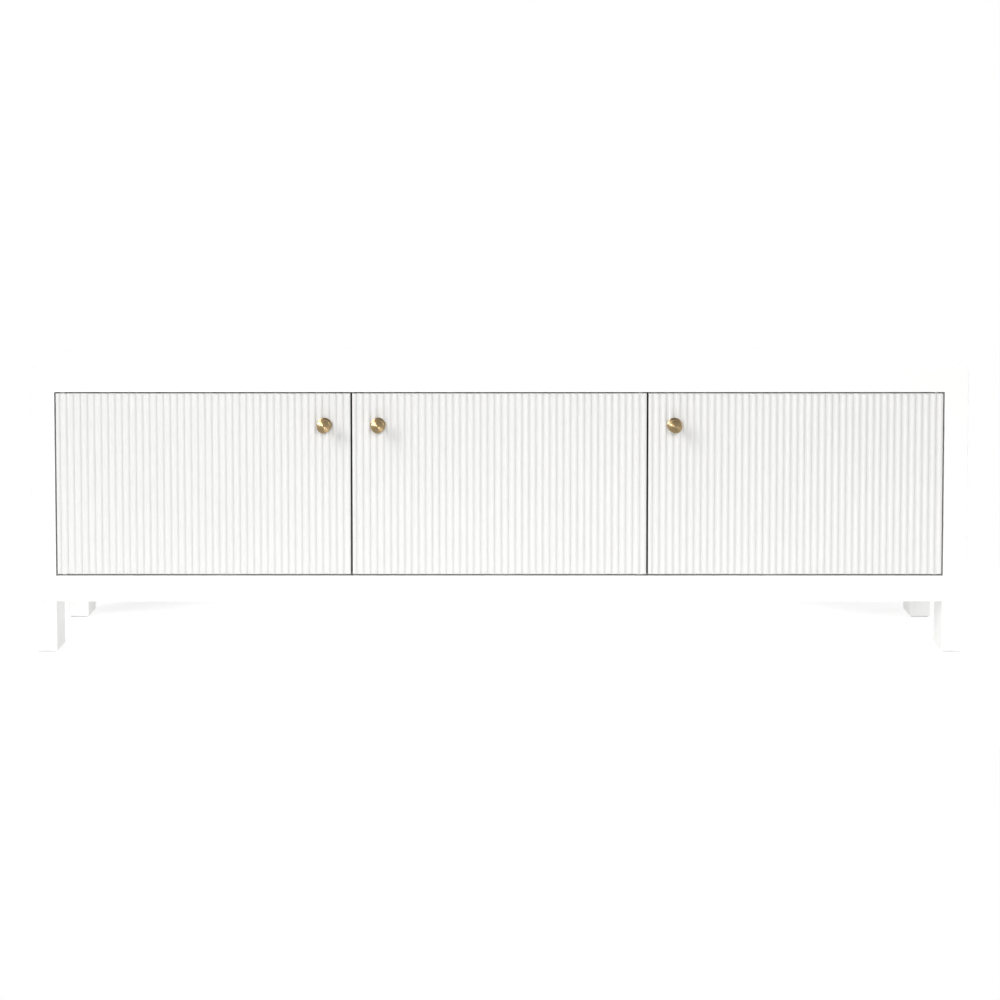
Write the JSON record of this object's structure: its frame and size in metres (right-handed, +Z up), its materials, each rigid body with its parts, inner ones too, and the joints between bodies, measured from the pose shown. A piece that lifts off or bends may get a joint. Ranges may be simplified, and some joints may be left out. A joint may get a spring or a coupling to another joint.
{
  "type": "tv stand with doors",
  "caption": "Long low white cabinet on block legs, with inset reeded doors on concealed pivots, round brass knobs, shelved bays and cable holes, for a television and media boxes.",
  "frame": {"origin": "floor level, in the middle of the stand's outline seen from above, knobs included", "axes": "+X to the right seen from the front, -Y out of the front, where the doors are, +Z up"},
  "size_m": [1.8, 0.426, 0.55],
  "materials": {
    "white_lacquer": "satin white lacquer on MDF",
    "white_board": "matt white melamine-faced board",
    "brushed_brass": "circular-brushed brass, satin",
    "zinc_steel": "zinc-plated steel",
    "white_plastic": "moulded white plastic",
    "grey_felt": "pressed felt"
  },
  "bodies": {
    "case": {"top_panel": "white_lacquer", "bottom_panel": "white_lacquer", "side_panel_left": "white_lacquer", "side_panel_right": "white_lacquer", "partition_left": "white_board", "partition_right": "white_board", "back_panel_left": "white_board", "cable_grommet_left": "white_plastic", "shelf_left": "white_board", "shelf_pin_left_front_left": "zinc_steel", "shelf_pin_left_front_right": "zinc_steel", "shelf_pin_left_back_left": "zinc_steel", "shelf_pin_left_back_right": "zinc_steel", "pivot_pin_left_top": "zinc_steel", "pivot_pin_left_bottom": "zinc_steel", "catch_magnet_left": "white_plastic", "back_panel_centre": "white_board", "cable_grommet_centre": "white_plastic", "shelf_centre": "white_board", "shelf_pin_centre_front_left": "zinc_steel", "shelf_pin_centre_front_right": "zinc_steel", "shelf_pin_centre_back_left": "zinc_steel", "shelf_pin_centre_back_right": "zinc_steel", "pivot_pin_centre_top": "zinc_steel", "pivot_pin_centre_bottom": "zinc_steel", "catch_magnet_centre": "white_plastic", "back_panel_right": "white_board", "cable_grommet_right": "white_plastic", "shelf_right": "white_board", "shelf_pin_right_front_left": "zinc_steel", "shelf_pin_right_front_right": "zinc_steel", "shelf_pin_right_back_left": "zinc_steel", "shelf_pin_right_back_right": "zinc_steel", "pivot_pin_right_top": "zinc_steel", "pivot_pin_right_bottom": "zinc_steel", "catch_magnet_right": "white_plastic", "leg_front_left": "white_lacquer", "leg_glide_front_left": "grey_felt", "leg_front_right": "white_lacquer", "leg_glide_front_right": "grey_felt", "leg_back_left": "white_lacquer", "leg_glide_back_left": "grey_felt", "leg_back_right": "white_lacquer", "leg_glide_back_right": "grey_felt"},
    "door_left": {"door_left": "white_lacquer", "knob_left": "brushed_brass", "knob_rosette_left": "brushed_brass", "knob_screw_left": "zinc_steel", "catch_strike_left": "zinc_steel"},
    "door_centre": {"door_centre": "white_lacquer", "knob_centre": "brushed_brass", "knob_rosette_centre": "brushed_brass", "knob_screw_centre": "zinc_steel", "catch_strike_centre": "zinc_steel"},
    "door_right": {"door_right": "white_lacquer", "knob_right": "brushed_brass", "knob_rosette_right": "brushed_brass", "knob_screw_right": "zinc_steel", "catch_strike_right": "zinc_steel"}
  },
  "joints": [
    {"name": "door_left_swing", "type": "hinge", "parent": "case", "child": "door_left", "pos_m": [-0.8395, -0.179, 0.152], "axis": [0, 0, -1], "range_deg": [0, 95]},
    {"name": "door_centre_swing", "type": "hinge", "parent": "case", "child": "door_centre", "pos_m": [0.27, -0.179, 0.152], "axis": [0, 0, 1], "range_deg": [0, 95]},
    {"name": "door_right_swing", "type": "hinge", "parent": "case", "child": "door_right", "pos_m": [0.8395, -0.179, 0.152], "axis": [0, 0, 1], "range_deg": [0, 95]}
  ]
}
